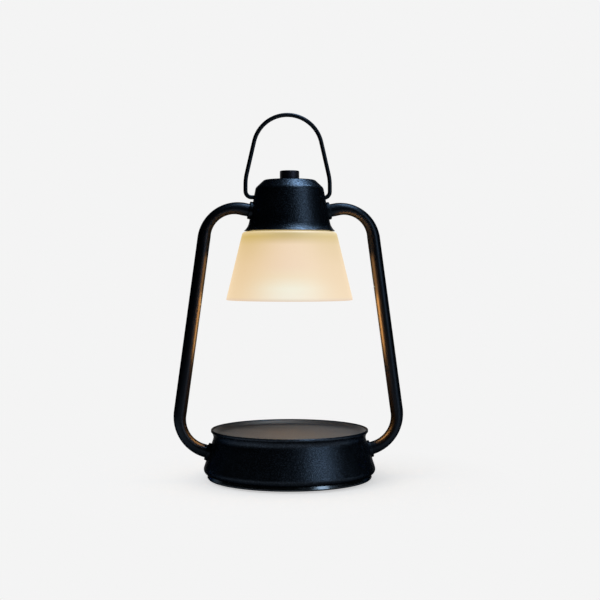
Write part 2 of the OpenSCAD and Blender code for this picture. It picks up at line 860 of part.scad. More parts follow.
module bulb_base() {
    low_z = shoulder_bulb_z - bulb_base_h;
    color([0.95, 0.94, 0.9]) difference() {
        post(bulb_base_r, low_z, shoulder_bulb_z);
        for (x = [-pin_gap / 2, pin_gap / 2])
            translate([x, 0, 0]) post(pin_neck_d / 2 + seat_gap, shoulder_bulb_z - 4, shoulder_bulb_z + cut);
    }
}

module bulb_pins() {
    head_z = shoulder_bulb_z + pin_len - 2.5;
    color([0.85, 0.75, 0.45]) for (x = [-pin_gap / 2, pin_gap / 2])
        translate([x, 0, 0]) {
            post(pin_neck_d / 2, shoulder_bulb_z - 4, head_z + 1);
            post(pin_d / 2, head_z, shoulder_bulb_z + pin_len);
        }
}

// Points of the reflector's outside, as [radius, height]
function reflector_points(inset) =
    let (
        low_z = shoulder_bulb_z - bulb_base_h,
        rise = low_z - face_z - lens_t,
        r_out = bulb_d / 2 - inset,
        r_in = bulb_base_r - inset
    )
    [for (i = [0:5]) [r_in + (r_out - r_in) * pow(i / 5, 0.6), low_z - rise * i / 5]];

module bulb_reflector() {
    low_z = shoulder_bulb_z - bulb_base_h;
    outer = reflector_points(0);
    inner = reflector_points(reflector_t);
    color("gainsboro") rotate_extrude() difference() {
        polygon(concat([[0, low_z]], outer, [[0, face_z + lens_t]]));
        polygon(concat(
            [[0, low_z - reflector_t]],
            [for (p = inner) [p[0], min(p[1], low_z - reflector_t)]],
            [[bulb_d / 2 - reflector_t, face_z], [0, face_z]]
        ));
    }
}

module bulb_lens() {
    color([1, 0.93, 0.8, 0.9]) post(bulb_d / 2, face_z, face_z + lens_t);
}

module bulb_capsule() {
    top_z = shoulder_bulb_z - bulb_base_h - reflector_t;
    color([1, 0.95, 0.8, 0.9]) post(capsule_r, top_z - capsule_len, top_z);
}

// ---------------------------------------------------------------- bail

// Right half of the bail's wire, from the arch's top to the pivot pin's end
module half_bail() {
    rod_arc(arch_c, arch_r, leg_lean, 90, wire_d / 2);
    rod_line(arch_c + arch_r * leg_n, sweep_c + sweep_r * leg_n, wire_d / 2);
    rod_arc(sweep_c, sweep_r, 0, leg_lean, wire_d / 2);
    rod_line([side_x, sweep_c[1]], [side_x, corner_c[1]], wire_d / 2);
    rod_arc(corner_c, corner_r, -90, 0, wire_d / 2);
    rod_line([bend_x, pivot_z], [pin_end_x, pivot_z], wire_d / 2);
}

module bail() {
    color([0.03, 0.03, 0.035]) translate([-bail_play, 0, 0]) both_sides() half_bail();
}

module bail_stops() {
    color("silver") translate([-bail_play, 0, 0]) both_sides()
        translate([stop_x - stop_t, 0, pivot_z]) rotate([0, 90, 0]) difference() {
            cylinder(d = stop_d, h = stop_t);
            translate([0, 0, -cut]) cylinder(r = wire_d / 2 + seat_gap / 2, h = stop_t + 2 * cut);
        }
}

// ---------------------------------------------------------------- leads

// Lead through the left arm's bore, from the terminal block to the arm's end in the cap
module arm_lead(top_end) {
    low_end = base_point - (block_reach() - 0.2) * base_dir;
    low_start = low_c + low_bend_r * [sin(side_slope), -cos(side_slope)];
    top_start = top_c + top_bend_r * [-sin(cap_slope), cos(cap_slope)];
    rod_line(low_end, low_start, lead_d / 2);
    rod_arc(low_c, low_bend_r, side_slope - 90, arm_lean, lead_d / 2);
    rod_line(leg_from, leg_to, lead_d / 2);
    rod_arc(top_c, top_bend_r, arm_lean, 90 + cap_slope, lead_d / 2);
    rod_line(top_start, top_end, lead_d / 2);
}

// Runs straight on from the arm into the side of the lamp holder
module neutral_lead() {
    reach = (cap_point[0] - sqrt(holder_r * holder_r - lead_y * lead_y)) / cap_dir[0];
    color([0.2, 0.35, 0.8]) mirror([1, 0, 0]) translate([0, lead_y, 0]) difference() {
        arm_lead(cap_point - (reach + cut) * cap_dir);
        translate([0, -lead_y, 0]) post(holder_r + seat_gap, carrier_top_z, cap_ceiling_z);
    }
}

// Turns up behind the arm's end to the underside of the dimmer board
module live_lead() {
    turn_from = cap_point - (cap_depth + 0.5) * cap_dir;
    turn_c = turn_from + lead_turn_r * [-sin(cap_slope), cos(cap_slope)];
    color([0.45, 0.25, 0.12]) mirror([1, 0, 0]) translate([0, -lead_y, 0]) {
        arm_lead(turn_from);
        rod_arc(turn_c, lead_turn_r, 180, 270 + cap_slope, lead_d / 2);
        rod_line(turn_c - [lead_turn_r, 0], [turn_c[0] - lead_turn_r, board_z - rod_lap], lead_d / 2);
    }
}

// From the dimmer board down to the top of the lamp holder
module switch_lead() {
    color([0.45, 0.25, 0.12]) translate([board_lead_x, 0, 0])
        post(lead_d / 2, carrier_top_z + holder_h, board_z);
}

// ---------------------------------------------------------------- nodes

base_shell();
warming_plate();
plate_washer();
plate_nut();
bottom_cover();
cover_screws();
feet();
cord_grommet();
terminal_block();
terminal_screws();
left_arm();
right_arm();
left_base_collar();
right_base_collar();
left_cap_collar();
right_cap_collar();
base_saddle_washers();
base_arm_nuts();
cap_saddle_washers();
cap_arm_nuts();
cap();
shade_carrier();
shade_gasket();
glass_shade();
shade_ring();
lamp_holder();
holder_screws();
bulb_base();
bulb_pins();
bulb_reflector();
bulb_lens();
bulb_capsule();
dimmer_body();
dimmer_board();
dimmer_nut();
dimmer_shaft();
dimmer_knob();
bail();
bail_stops();
neutral_lead();
live_lead();
switch_lead();
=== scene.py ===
# %% [markdown]
# # A lantern lamp with a warming plate
#
# The lamp is a round powder-coated base with a shallow plate, two bent tube arms, a bell-shaped
# cap with a knob and a wire bail, and a frosted glass shade that glows over a downlight bulb.
# This lesson builds its looks in Blender around solids that are already exact. First comes the
# frame: the imported solids, in metres, each one at its real place.

# %% Load the frame
import math

import bmesh
import bpy
from mathutils import Matrix, Vector


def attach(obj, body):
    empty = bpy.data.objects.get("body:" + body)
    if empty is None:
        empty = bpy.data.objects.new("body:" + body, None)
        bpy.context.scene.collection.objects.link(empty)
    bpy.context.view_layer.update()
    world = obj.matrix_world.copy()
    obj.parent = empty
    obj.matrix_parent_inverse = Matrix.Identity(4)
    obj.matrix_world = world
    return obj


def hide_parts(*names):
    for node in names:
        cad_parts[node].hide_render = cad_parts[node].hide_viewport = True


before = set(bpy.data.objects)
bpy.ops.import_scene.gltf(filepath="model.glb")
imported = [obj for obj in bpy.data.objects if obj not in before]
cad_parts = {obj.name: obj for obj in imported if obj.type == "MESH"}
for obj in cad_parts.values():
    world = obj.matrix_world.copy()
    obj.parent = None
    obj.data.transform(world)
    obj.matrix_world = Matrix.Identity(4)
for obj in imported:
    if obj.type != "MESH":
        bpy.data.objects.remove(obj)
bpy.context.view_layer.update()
scene = bpy.context.scene
MM = 0.001

# %% [markdown]
# ## The camera
#
# A camera could be placed by eye until the picture looks right. Here it is worked out: the
# ellipses of the shade's mouth and the cap's skirt say how high the lens is, and their sizes
# say how far away. The lens stands about a metre off, level with the lower part of the shade,
# a little to the left, and looks down by a degree and a half.

# %% Camera
EYE = Vector((-0.1115, -0.9787, 0.1712))
LENS_MM = 72.5
SENSOR_MM = 36
PITCH = math.radians(1.445)
HEADING = math.radians(6.995)


def add_object(name, data):
    """An object made of some data and put into the scene."""
    item = bpy.data.objects.new(name, data)
    scene.collection.objects.link(item)
    return item


camera = add_object("camera", bpy.data.cameras.new("camera"))
camera.data.lens = LENS_MM
camera.data.sensor_width = SENSOR_MM
camera.location = EYE
camera.rotation_euler = (math.pi / 2 - PITCH, 0, -HEADING)
scene.camera = camera
print("camera at", tuple(round(v, 3) for v in EYE))

# %% [markdown]
# ## Sums in a shader
#
# The surround, the floor and the glass all need a few sums in their node trees. Each sum could be
# made by hand with four lines, but then the idea drowns in wiring. These helpers fill a node's
# sockets, make a sum, or run a value from one range onto another, in one line each.

# %% Helpers for sums


def fill_socket(tree, socket, value):
    """Links a socket to another node's output, or sets it to a number or a colour."""
    if isinstance(value, bpy.types.NodeSocket):
        tree.links.new(value, socket)
    else:
        socket.default_value = value


def set_inputs(tree, node, **values):
    """Fills a node's sockets by name. An underscore in a name stands for a space."""
    for name, value in values.items():
        fill_socket(tree, node.inputs[name.replace("_", " ")], value)


def calc(tree, operation, *values):
    """One sum on one to three values."""
    node = tree.nodes.new("ShaderNodeMath")
    node.operation = operation
    for socket, value in zip(node.inputs, values):
        fill_socket(tree, socket, value)
    return node.outputs[0]


def stretch(tree, value, low, high, to_low, to_high):
    """Runs a value between two ends onto two others, and stops at them."""
    node = tree.nodes.new("ShaderNodeMapRange")
    set_inputs(
        tree, node, Value=value, From_Min=low, From_Max=high, To_Min=to_low, To_Max=to_high)
    return node.outputs["Result"]


print("helpers for sums: fill_socket, set_inputs, calc, stretch")

# %% [markdown]
# A shader can ask what kind of ray meets it, and where. The surround and the floor give one
# answer to mirror rays and another to the camera. Two scenes, one for each, would need no such
# questions, but then they would have to be kept alike. So the questions are helpers as well.

# %% Helpers for rays and places


def ray_kinds(tree):
    """Two masks: rays from mirrors, and rays straight from the lens or through glass."""
    path = tree.nodes.new("ShaderNodeLightPath").outputs
    straight = calc(tree, "MAXIMUM", path["Is Camera Ray"], path["Is Transmission Ray"])
    return path["Is Glossy Ray"], straight


def place_of(tree, kind="Object"):
    """Where a ray meets the surface. For a surround, the Generated kind is the ray's direction."""
    return tree.nodes.new("ShaderNodeTexCoord").outputs[kind]


def axes_of(tree, vector):
    """The X, Y and Z of a vector."""
    node = tree.nodes.new("ShaderNodeSeparateXYZ")
    tree.links.new(vector, node.inputs[0])
    return node.outputs


print("helpers for rays and places: ray_kinds, place_of, axes_of")

# %% [markdown]
# ## The studio
#
# The lamp stands in a white studio. One way to get a white background is to pour light on it,
# but that would wash out the black coat. So the white is a colour: rays that come straight from
# the lens, or through glass, see a pale surround, and only a plain amount of light falls on the
# lamp. Rays that come from a mirror see the same pale backdrop behind the lamp, as far round and
# as high as a picture shows it. Above it and behind the lens they see a dark room, because
# photographers hang black cloth there, or black goods would look grey.

# %% World
PALE = 0.905
ROOM_LIGHT = 0.36
DARK_ROOM = 0.004
# Both pairs are parts of a ray's direction: the backdrop comes up at its sides between the first
# two numbers, and ends at its top between the others.
BACKDROP_SIDES = (0.45, 0.85)
BACKDROP_TOP = (0.25, 0.5)

world = bpy.data.worlds.new("studio")
scene.world = world
world.use_nodes = True
tree = world.node_tree
tree.nodes.clear()
glossy, straight = ray_kinds(tree)
way = axes_of(tree, place_of(tree, "Generated"))
behind = stretch(tree, way["Y"], *BACKDROP_SIDES, 0.0, PALE)
low = stretch(tree, way["Z"], *BACKDROP_TOP, 1.0, 0.0)
room = calc(tree, "MAXIMUM", calc(tree, "MULTIPLY", behind, low), DARK_ROOM)
mirrored = calc(tree, "MULTIPLY", glossy, room)
seen = calc(tree, "ADD", mirrored, calc(tree, "MULTIPLY", straight, PALE))
lighting = calc(tree, "SUBTRACT", 1.0, calc(tree, "MAXIMUM", straight, glossy))
strength = calc(tree, "ADD", seen, calc(tree, "MULTIPLY", lighting, ROOM_LIGHT))
background = tree.nodes.new("ShaderNodeBackground")
set_inputs(tree, background, Color=(1, 1, 1, 1), Strength=strength)
tree.links.new(background.outputs[0], tree.nodes.new("ShaderNodeOutputWorld").inputs[0])
print("world nodes:", len(tree.nodes))

# %% [markdown]
# ## The floor
#
# The floor could be shaded all over, but then a line would show where it ends. So its real
# shading fades away from the lamp's foot outwards, and only the pale colour is left. The pale
# colour is set where the shading is strong so that both add up to the same white, and the soft
# shadow round the foot stays.

# %% Floor, as the picture shows it
SHADE_SHARE = 0.96
SHADE_RING = (0.075, 0.19)
LIT_FLOOR = 0.392

floor_paint = bpy.data.materials.new("studio_floor")
floor_paint.use_nodes = True
tree = floor_paint.node_tree
tree.nodes.clear()
glossy, straight = ray_kinds(tree)
place = place_of(tree)
length = tree.nodes.new("ShaderNodeVectorMath")
length.operation = "LENGTH"
tree.links.new(place, length.inputs[0])
from_middle = length.outputs["Value"]
share = stretch(tree, from_middle, *SHADE_RING, SHADE_SHARE, 0.0)
unshaded = calc(tree, "SUBTRACT", 1.0, share)
missing = calc(tree, "SUBTRACT", PALE, calc(tree, "MULTIPLY", share, LIT_FLOOR))
lifted = calc(tree, "DIVIDE", missing, unshaded)
print("the floor's shading fades between", *SHADE_RING, "m from the middle")

# %% [markdown]
# Mirror rays see the pale floor too, as far to the front and to the sides as the picture shows it,
# and the black cloth lies beyond. The pale part widens towards the back, like the lens's view.
# Close to the foot, the pale floor that mirror rays see is dimmed: a painted shadow of the lamp.
#
# A real floor and real cloths would do the same with no sums, but then the floor's white would
# have to be lit, and it would never match the surround.

# %% Floor, as mirrors show it
FOOT_SHADOW = 0.85
FOOT_RING = (0.07, 0.15)
CLOTH_FRONT = (-0.5, -0.36)
CLOTH_SIDES = (0.3, 0.5)
PALE_WIDENS = -0.3

spot = axes_of(tree, place)
front = stretch(tree, spot["Y"], *CLOTH_FRONT, 1.0, 0.0)
aside = calc(tree, "MULTIPLY_ADD", spot["Y"], PALE_WIDENS, calc(tree, "ABSOLUTE", spot["X"]))
cloth = calc(tree, "MAXIMUM", front, stretch(tree, aside, *CLOTH_SIDES, 0.0, 1.0))
# Painted shadow: the floor that mirror rays see is dimmed close to the foot.
foot = stretch(tree, from_middle, *FOOT_RING, FOOT_SHADOW, 0.0)
uncovered = calc(tree, "SUBTRACT", 1.0, calc(tree, "MAXIMUM", cloth, foot))
in_mirror = calc(tree, "MULTIPLY", glossy, calc(tree, "MULTIPLY", uncovered, PALE))
print("cloth from", *CLOTH_FRONT, "m in front and from", *CLOTH_SIDES, "m at the sides")

# %% [markdown]
# Both answers go into one glow, which is mixed with a matt floor that takes the shadow. The
# floor's mesh is a wide flat disc. A square would do as well, but the disc ends at the same
# distance from the lamp on every side.

# %% Floor, put together
FLOOR_COLOUR = (0.86, 0.88, 0.905, 1)
FLOOR_R = 12
FLOOR_SIDES = 64
MIRROR_SHARE = 0.97

in_picture = calc(tree, "MULTIPLY", calc(tree, "SUBTRACT", 1.0, glossy), lifted)
glow = tree.nodes.new("ShaderNodeEmission")
set_inputs(tree, glow, Strength=calc(tree, "ADD", in_mirror, in_picture))
matt = tree.nodes.new("ShaderNodeBsdfDiffuse")
set_inputs(tree, matt, Color=FLOOR_COLOUR)
glowing = calc(
    tree, "MAXIMUM", calc(tree, "MULTIPLY", straight, unshaded),
    calc(tree, "MULTIPLY", glossy, MIRROR_SHARE))
blend = tree.nodes.new("ShaderNodeMixShader")
for socket, output in zip(blend.inputs, (glowing, matt.outputs[0], glow.outputs[0])):
    tree.links.new(output, socket)
tree.links.new(blend.outputs[0], tree.nodes.new("ShaderNodeOutputMaterial").inputs[0])

bm = bmesh.new()
bmesh.ops.create_circle(bm, cap_ends=True, segments=FLOOR_SIDES, radius=FLOOR_R)
floor_mesh = bpy.data.meshes.new("floor")
bm.to_mesh(floor_mesh)
bm.free()
floor_mesh.materials.append(floor_paint)
floor = add_object("floor", floor_mesh)
print("floor nodes:", len(tree.nodes))

# %% [markdown]
# ## The lamps of the studio
#
# Studio lamps are soft boxes: bright rectangles that are aimed at the goods. Sun lamps would be
# simpler, but their highlights on a round coat are spots and not soft bands. So each lamp is an
# area light with a place and an aim.
#
# A lamp can also be told to leave some things out. Light linking does that: a collection names
# the things and excludes them.

# %% Helpers for lamps


def softbox(name, place, aim, width, height, watts, tint):
    """A rectangular area light at one point, aimed at another."""
    light = bpy.data.lights.new(name, "AREA")
    light.shape = "RECTANGLE"
    light.size, light.size_y = width, height
    light.energy = watts
    light.color = tint
    lamp = add_object(name, light)
    lamp.location = place
    lamp.rotation_euler = (Vector(aim) - Vector(place)).to_track_quat("-Z", "Y").to_euler()
    lamp.visible_camera = False
    return lamp


def keep_light_off(lamps, *targets):
    """Stops some lamps from lighting some objects."""
    unlit = bpy.data.collections.new("not_lit")
    for target in targets:
        unlit.objects.link(target)
    for member in unlit.collection_objects:
        member.light_linking.link_state = "EXCLUDE"
    for lamp in lamps:
        lamp.light_linking.receiver_collection = unlit


print("helpers for lamps: softbox, keep_light_off")

# %% [markdown]
# A tall soft box at the right of the camera draws the long highlight down the cap and the base.
# A small one above it shines on the cap's flare, and one overhead catches the bevel, the knob's
# top and the tops of the arms. The last one, from the left, only fills in and throws the shadow
# to the right, so it is hidden from reflections. One big lamp in front would be enough to see by,
# but it would lay one flat sheen over everything.
#
# The first three would throw long shadows of the arms, and a product picture has only a soft
# shadow round the foot. So their light is kept off the floor, and the fill and the room's own
# light are left to shade it.

# %% Lamps
COOL = (0.76, 0.89, 1.0)
WHITE = (1, 1, 1)

# Each lamp: its place, its aim, its width and height, its watts and its colour.
key = softbox("key", (0.84, -1.0, 0.48), (0, 0, 0.4), 0.34, 0.95, 5.2, COOL)
upper = softbox("upper", (0.42, -0.5, 1.25), (0, 0, 0.2), 0.28, 0.28, 6.0, COOL)
overhead = softbox("overhead", (0.3, 0.05, 1.2), (0, 0, 0.1), 0.36, 0.36, 15.0, COOL)
fill = softbox("fill", (-1.0, -0.6, 1.1), (0, 0, 0.1), 0.9, 0.9, 3.0, WHITE)
fill.visible_glossy = False
keep_light_off([key, upper, overhead], floor)
print("watts:", {lamp.name: round(lamp.data.energy, 1) for lamp in (key, upper, overhead, fill)})

# %% [markdown]
# ## Finishes
#
# The black coat is a fine-grained powder coat: tiny bumps that break the highlight into
# speckles. A picture of such a surface would do, but it would blur close up, so noise in the
# object's own coordinates makes the grain. The grain is needed by several finishes, so it is a
# node group. It gives out a height for the bump and a mask that makes the gloss uneven.

# %% Shared grain group
GRAIN_SMOOTHNESS = 0.4
PATCHES_PER_METRE = 60
PATCH_DETAIL = 3.0
PATCH_RANGE = (0.3, 0.7, 0.44, 0.56)


def grain_group():
    """Fine grain: a height and a mottled mask, both from noise in object coordinates."""
    group = bpy.data.node_groups.new("fine grain", "ShaderNodeTree")
    for name, in_out in (("Grains per metre", "INPUT"), ("Height", "OUTPUT"), ("Mask", "OUTPUT")):
        group.interface.new_socket(name, in_out=in_out, socket_type="NodeSocketFloat")
    grains = group.nodes.new("NodeGroupInput").outputs["Grains per metre"]
    results = group.nodes.new("NodeGroupOutput")
    place = place_of(group)
    fine = group.nodes.new("ShaderNodeTexVoronoi")
    fine.feature = "SMOOTH_F1"
    set_inputs(group, fine, Vector=place, Scale=grains, Smoothness=GRAIN_SMOOTHNESS)
    broad = group.nodes.new("ShaderNodeTexNoise")
    set_inputs(group, broad, Vector=place, Scale=PATCHES_PER_METRE, Detail=PATCH_DETAIL)
    height = fine.outputs["Distance"]
    patchy = stretch(group, broad.outputs["Fac"], *PATCH_RANGE)
    set_inputs(group, results, Height=height, Mask=calc(group, "MULTIPLY", height, patchy))
    return group


GRAIN = grain_group()
print("grain group nodes:", len(GRAIN.nodes))

# %% [markdown]
# Every material of the lamp has a Principled shader, a colour ramp and a bump. The nodes could be
# copied from one material to the next, but a copy hides what is different in each. So the parts
# that repeat are helpers, for the glass and the bulb as well.

# %% Helpers for materials


def new_material(name):
    """A material, its node tree and its Principled shader."""
    material = bpy.data.materials.new(name)
    material.use_nodes = True
    return material, material.node_tree, material.node_tree.nodes["Principled BSDF"]


def ramp_of(tree, value, stops):
    """The colour for a value on a ramp of (position, colour) stops."""
    node = tree.nodes.new("ShaderNodeValToRGB")
    elements = node.color_ramp.elements
    while len(elements) < len(stops):
        elements.new(0.5)
    for element, (position, colour) in zip(elements, stops):
        element.position = position
        element.color = (*colour, 1)
    tree.links.new(value, node.inputs[0])
    return node.outputs["Color"]


def relief_of(tree, height, depth, strength=1.0):
    """The normal of a bump whose depth is in mm."""
    node = tree.nodes.new("ShaderNodeBump")
    set_inputs(tree, node, Height=height, Distance=depth * MM, Strength=strength)
    return node.outputs["Normal"]


print("helpers for materials: new_material, ramp_of, relief_of")

# %% [markdown]
# A finish has a colour and a roughness that both run between two values along the grain's mask,
# with the grain's height as a bump. Plain values would be enough from far away, but real coats
# and metals are never quite even. Numbers that are the same all over sit on the shader's own
# sockets.

# %% Helper for a finish
MASK_LOW, MASK_HIGH = 0.12, 0.42
GRAIN_STRENGTH = 0.8


def finish_of(name, dark, light, rough, grains, bump, **constants):
    """A grained finish: two colours and two roughnesses mixed by the grain, and a bump in mm."""
    material, tree, shader = new_material(name)
    grain = tree.nodes.new("ShaderNodeGroup")
    grain.node_tree = GRAIN
    set_inputs(tree, grain, Grains_per_metre=grains)
    mask = grain.outputs["Mask"]
    set_inputs(
        tree, shader, Base_Color=ramp_of(tree, mask, ((MASK_LOW, dark), (MASK_HIGH, light))),
        Roughness=stretch(tree, mask, MASK_LOW, MASK_HIGH, *rough),
        Normal=relief_of(tree, grain.outputs["Height"], bump, GRAIN_STRENGTH), **constants)
    return material


print("helper for a finish: finish_of")

# %% [markdown]
# ## The black coats and the plate's grey
#
# A smooth black varnish mirrors the backdrop along its edges as a bright rim. A coarse coat
# doesn't, because its grains hide each other at low angles. The shader's varnish can't be
# darkened there, but its metal can: for a metal, Specular Tint is the colour near the edge. So
# the coats are very dark metals with dark edges. The cap and the base have the coarse coat, the
# tubes and the wire a finer one, and the ring under the base is nearly smooth.

# %% Black coats and the plate's grey
COAT_EDGE = (0.15, 0.15, 0.15, 1)
RING_EDGE = (0.1, 0.1, 0.1, 1)
KNOB_EDGE = (0.6, 0.62, 0.9, 1)

# Each finish: dark and light colour, roughness from and to, grains per metre, bump in mm.
powder_coat = finish_of(
    "powder_coat", (0.010, 0.0135, 0.019), (0.037, 0.050, 0.070), (0.30, 0.40), 1250, 0.17,
    Metallic=1.0, Specular_Tint=COAT_EDGE)
rod_black = finish_of(
    "rod_black", (0.009, 0.012, 0.016), (0.013, 0.017, 0.024), (0.34, 0.44), 1250, 0.03,
    Metallic=1.0, Specular_Tint=COAT_EDGE)
knob_black = finish_of(
    "knob_black", (0.0004, 0.0004, 0.0005), (0.001, 0.0009, 0.0012), (0.46, 0.56), 900, 0.1,
    Specular_IOR_Level=0.4, Specular_Tint=KNOB_EDGE)
gloss_black = finish_of(
    "gloss_black", (0.09, 0.108, 0.13), (0.1, 0.12, 0.145), (0.18, 0.26), 500, 0.004,
    Metallic=1.0, Specular_Tint=RING_EDGE)
plate_grey = finish_of(
    "plate_grey", (0.008, 0.008, 0.009), (0.014, 0.014, 0.016), (0.45, 0.6), 1800, 0.03,
    Specular_IOR_Level=0.3)
print("materials so far:", len(bpy.data.materials))

# %% [markdown]
# ## The finishes inside
#
# The parts inside and underneath are plain stock: zinc-plated steel, bright aluminium, brass,
# ceramic, rubber and coloured plastics. One shader for metal and one for plastic would be quick,
# but the parts would then look alike in an open view. So each material has its own two colours
# and its grain.

# %% Finishes inside
METAL = {"Metallic": 1.0}
# The same numbers as above, and what is set on the shader itself.
INSIDE = {
    "rubber_black": ((0.012, 0.012, 0.012), (0.022, 0.022, 0.022), (0.7, 0.85), 900, 0.05, {}),
    "zinc_steel": ((0.5, 0.5, 0.48), (0.66, 0.65, 0.62), (0.28, 0.45), 700, 0.01, METAL),
    "bright_aluminium": ((0.8, 0.8, 0.8), (0.9, 0.9, 0.9), (0.12, 0.25), 400, 0.006, METAL),
    "contact_brass": ((0.62, 0.42, 0.16), (0.8, 0.6, 0.28), (0.25, 0.4), 600, 0.01, METAL),
    "ceramic": ((0.78, 0.76, 0.7), (0.86, 0.85, 0.8), (0.5, 0.65), 1100, 0.02, {}),
    "white_silicone": ((0.7, 0.69, 0.66), (0.78, 0.77, 0.74), (0.55, 0.7), 900, 0.02, {}),
    "block_plastic": ((0.7, 0.68, 0.6), (0.78, 0.76, 0.7), (0.4, 0.55), 900, 0.02, {}),
    "dimmer_plastic": ((0.03, 0.06, 0.2), (0.05, 0.09, 0.27), (0.35, 0.5), 900, 0.02, {}),
    "board_green": ((0.01, 0.07, 0.03), (0.02, 0.11, 0.05), (0.25, 0.4), 500, 0.01, {}),
    "lead_blue": ((0.02, 0.07, 0.35), (0.03, 0.1, 0.45), (0.4, 0.5), 900, 0.01, {}),
    "lead_brown": ((0.09, 0.035, 0.015), (0.13, 0.05, 0.02), (0.4, 0.5), 900, 0.01, {}),
}
inside_finish = {}
for name, (dark, light, rough, grains, bump, constants) in INSIDE.items():
    inside_finish[name] = finish_of(name, dark, light, rough, grains, bump, **constants)
print("finishes inside:", len(inside_finish))

# %% [markdown]
# ## The colours of the glow
#
# The shade is frosted glass with a bulb inside. Letting the renderer find its way through two
# frosted walls would be truthful but noisy, and the glow would be lost in other programs. The
# frost is so dense that no shape shows through, so the glass here is a dark matt body, and its
# pale look is a painted glow that it gives off by itself, standing in for the bulb's light shining
# through. Two colour ramps of this painted glow run up its height, one for where it faces the eye
# and one for its sides: palest low down, where the bulb's face is, and ochre just under the cap,
# as painted shade where the holder shades it. A thin line at the crown stays bright, as a painted
# line of light.

# %% Colours of the glow
# Stops of the painted glow up the shade's height, for the middle and for the sides.
SHADE_MIDDLE = [
    (0.0, (0.68, 0.56, 0.42)), (0.05, (0.82, 0.75, 0.60)), (0.18, (0.81, 0.77, 0.61)),
    (0.35, (0.80, 0.64, 0.42)), (0.5, (0.79, 0.58, 0.38)), (0.8, (0.80, 0.58, 0.37)),
    (0.9, (0.52, 0.35, 0.09)), (0.97, (0.41, 0.27, 0.03)), (1.0, (0.68, 0.50, 0.20))]
SHADE_EDGE = [
    (0.0, (0.72, 0.54, 0.38)), (0.05, (0.81, 0.60, 0.35)), (0.5, (0.77, 0.55, 0.29)),
    (0.8, (0.70, 0.49, 0.21)), (0.92, (0.60, 0.41, 0.09)), (1.0, (0.70, 0.52, 0.22))]
print("colour stops:", len(SHADE_MIDDLE), "in the middle and", len(SHADE_EDGE), "at the sides")

# %% [markdown]
# Layer Weight tells the middle from the sides: it says how far a point is turned away from the
# eye, and mixes the two ramps. The frost is a fine noise as a bump, which takes the sharpness
# out of what the glass still mirrors.

# %% Frosted glass
# The glass's own colour is a dark grey, so that its look is mostly the painted glow.
GLASS_COLOUR = (0.1, 0.12, 0.14, 1)
SIDE_BLEND = 0.92
FROST_PER_METRE = 2500
FROST_DEPTH = 0.02


def frosted_glass(low, high):
    """Frosted glass with a painted glow, whose two ramps of colour run from low to high, in mm."""
    material, tree, shader = new_material("frosted_glass")
    place = place_of(tree)
    height = stretch(tree, axes_of(tree, place)["Z"], low * MM, high * MM, 0.0, 1.0)
    # The painted glow's colour: the two ramps mixed by how far the glass turns from the eye.
    facing = tree.nodes.new("ShaderNodeLayerWeight")
    set_inputs(tree, facing, Blend=SIDE_BLEND)
    tint = tree.nodes.new("ShaderNodeMix")
    tint.data_type = "RGBA"
    set_inputs(
        tree, tint, Factor=facing.outputs["Facing"],
        A=ramp_of(tree, height, SHADE_MIDDLE), B=ramp_of(tree, height, SHADE_EDGE))
    frost = tree.nodes.new("ShaderNodeTexNoise")
    set_inputs(tree, frost, Vector=place, Scale=FROST_PER_METRE)
    set_inputs(
        tree, shader, Base_Color=GLASS_COLOUR, Roughness=0.5, IOR=1.45, Specular_IOR_Level=0.3,
        Emission_Color=tint.outputs["Result"], Emission_Strength=1.0,
        Normal=relief_of(tree, frost.outputs["Fac"], FROST_DEPTH))
    return material


print("helper for the glass: frosted_glass")

# %% [markdown]
# ## Making pieces
#
# A piece here is a mesh with one material, smooth faces, and sharp corners where two faces meet
# steeply. It rides on a body of the frame, so that it moves with the joints, and it stands for
# the CAD nodes it replaces. Every piece needs all of that, so it is one helper.

# %% Helper for a piece


def make_piece(name, bm, body, material, slot, *stands_for, sharp=40):
    """Makes an object of a bmesh, lets it ride on a body and stand for CAD nodes."""
    mesh = bpy.data.meshes.new(name)
    bm.to_mesh(mesh)
    bm.free()
    mesh.materials.append(material)
    mesh.polygons.foreach_set("use_smooth", [True] * len(mesh.polygons))
    mesh.set_sharp_from_angle(angle=math.radians(sharp))
    piece = add_object(name, mesh)
    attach(piece, body)
    if stands_for:
        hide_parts(*stands_for)
    print(f"{name}: {len(mesh.polygons)} faces")
    return piece


print("helper for a piece: make_piece")

# %% [markdown]
# Most parts of this lamp were turned, spun or pressed, so most pieces start as half of their
# section. The section is a flat face whose corners are rounded with a vertex bevel, and a spin
# round the axis makes the solid. A cylinder could be pulled into shape instead, but a section is
# easier to read, and to change, than a finished mesh.

# %% Helper for turned pieces
ROUND_STEPS = 5
ON_AXIS = 1e-7
WELD = 1e-6


def turned(section, steps=128):
    """Spins a closed half section round Z. Each corner is (radius, height, rounding), in mm."""
    bm = bmesh.new()
    corners = [bm.verts.new((r * MM, 0, z * MM)) for r, z, _ in section]
    bm.faces.new(corners)
    for corner, (_, _, rounding) in zip(corners, section):
        if rounding:
            bmesh.ops.bevel(
                bm, geom=[corner], offset=rounding * MM, segments=ROUND_STEPS, profile=0.5,
                affect="VERTICES", material=-1)
    bmesh.ops.delete(bm, geom=bm.faces[:], context="FACES_ONLY")
    axis_edges = [e for e in bm.edges if all(abs(v.co.x) < ON_AXIS for v in e.verts)]
    bmesh.ops.delete(bm, geom=axis_edges, context="EDGES")
    bmesh.ops.spin(
        bm, geom=bm.verts[:] + bm.edges[:], cent=(0, 0, 0), axis=(0, 0, 1),
        angle=math.tau, steps=steps, use_merge=True)
    bmesh.ops.remove_doubles(bm, verts=bm.verts[:], dist=WELD)
    bmesh.ops.recalc_face_normals(bm, faces=bm.faces[:])
    return bm


print("helper for turned pieces: turned")

# %% [markdown]
# ## The cap
#
# The cap is spun from sheet: a flat top, a bevel, a steep coned side, and a hollow flare down to
# the skirt. Its CAD solid has sharp corners. On the real one the tool rounds them, and those
# small roundings catch the light. A Bevel modifier would stumble over the long thin triangles of
# the CAD mesh, so the cap is turned again here with rounded corners.

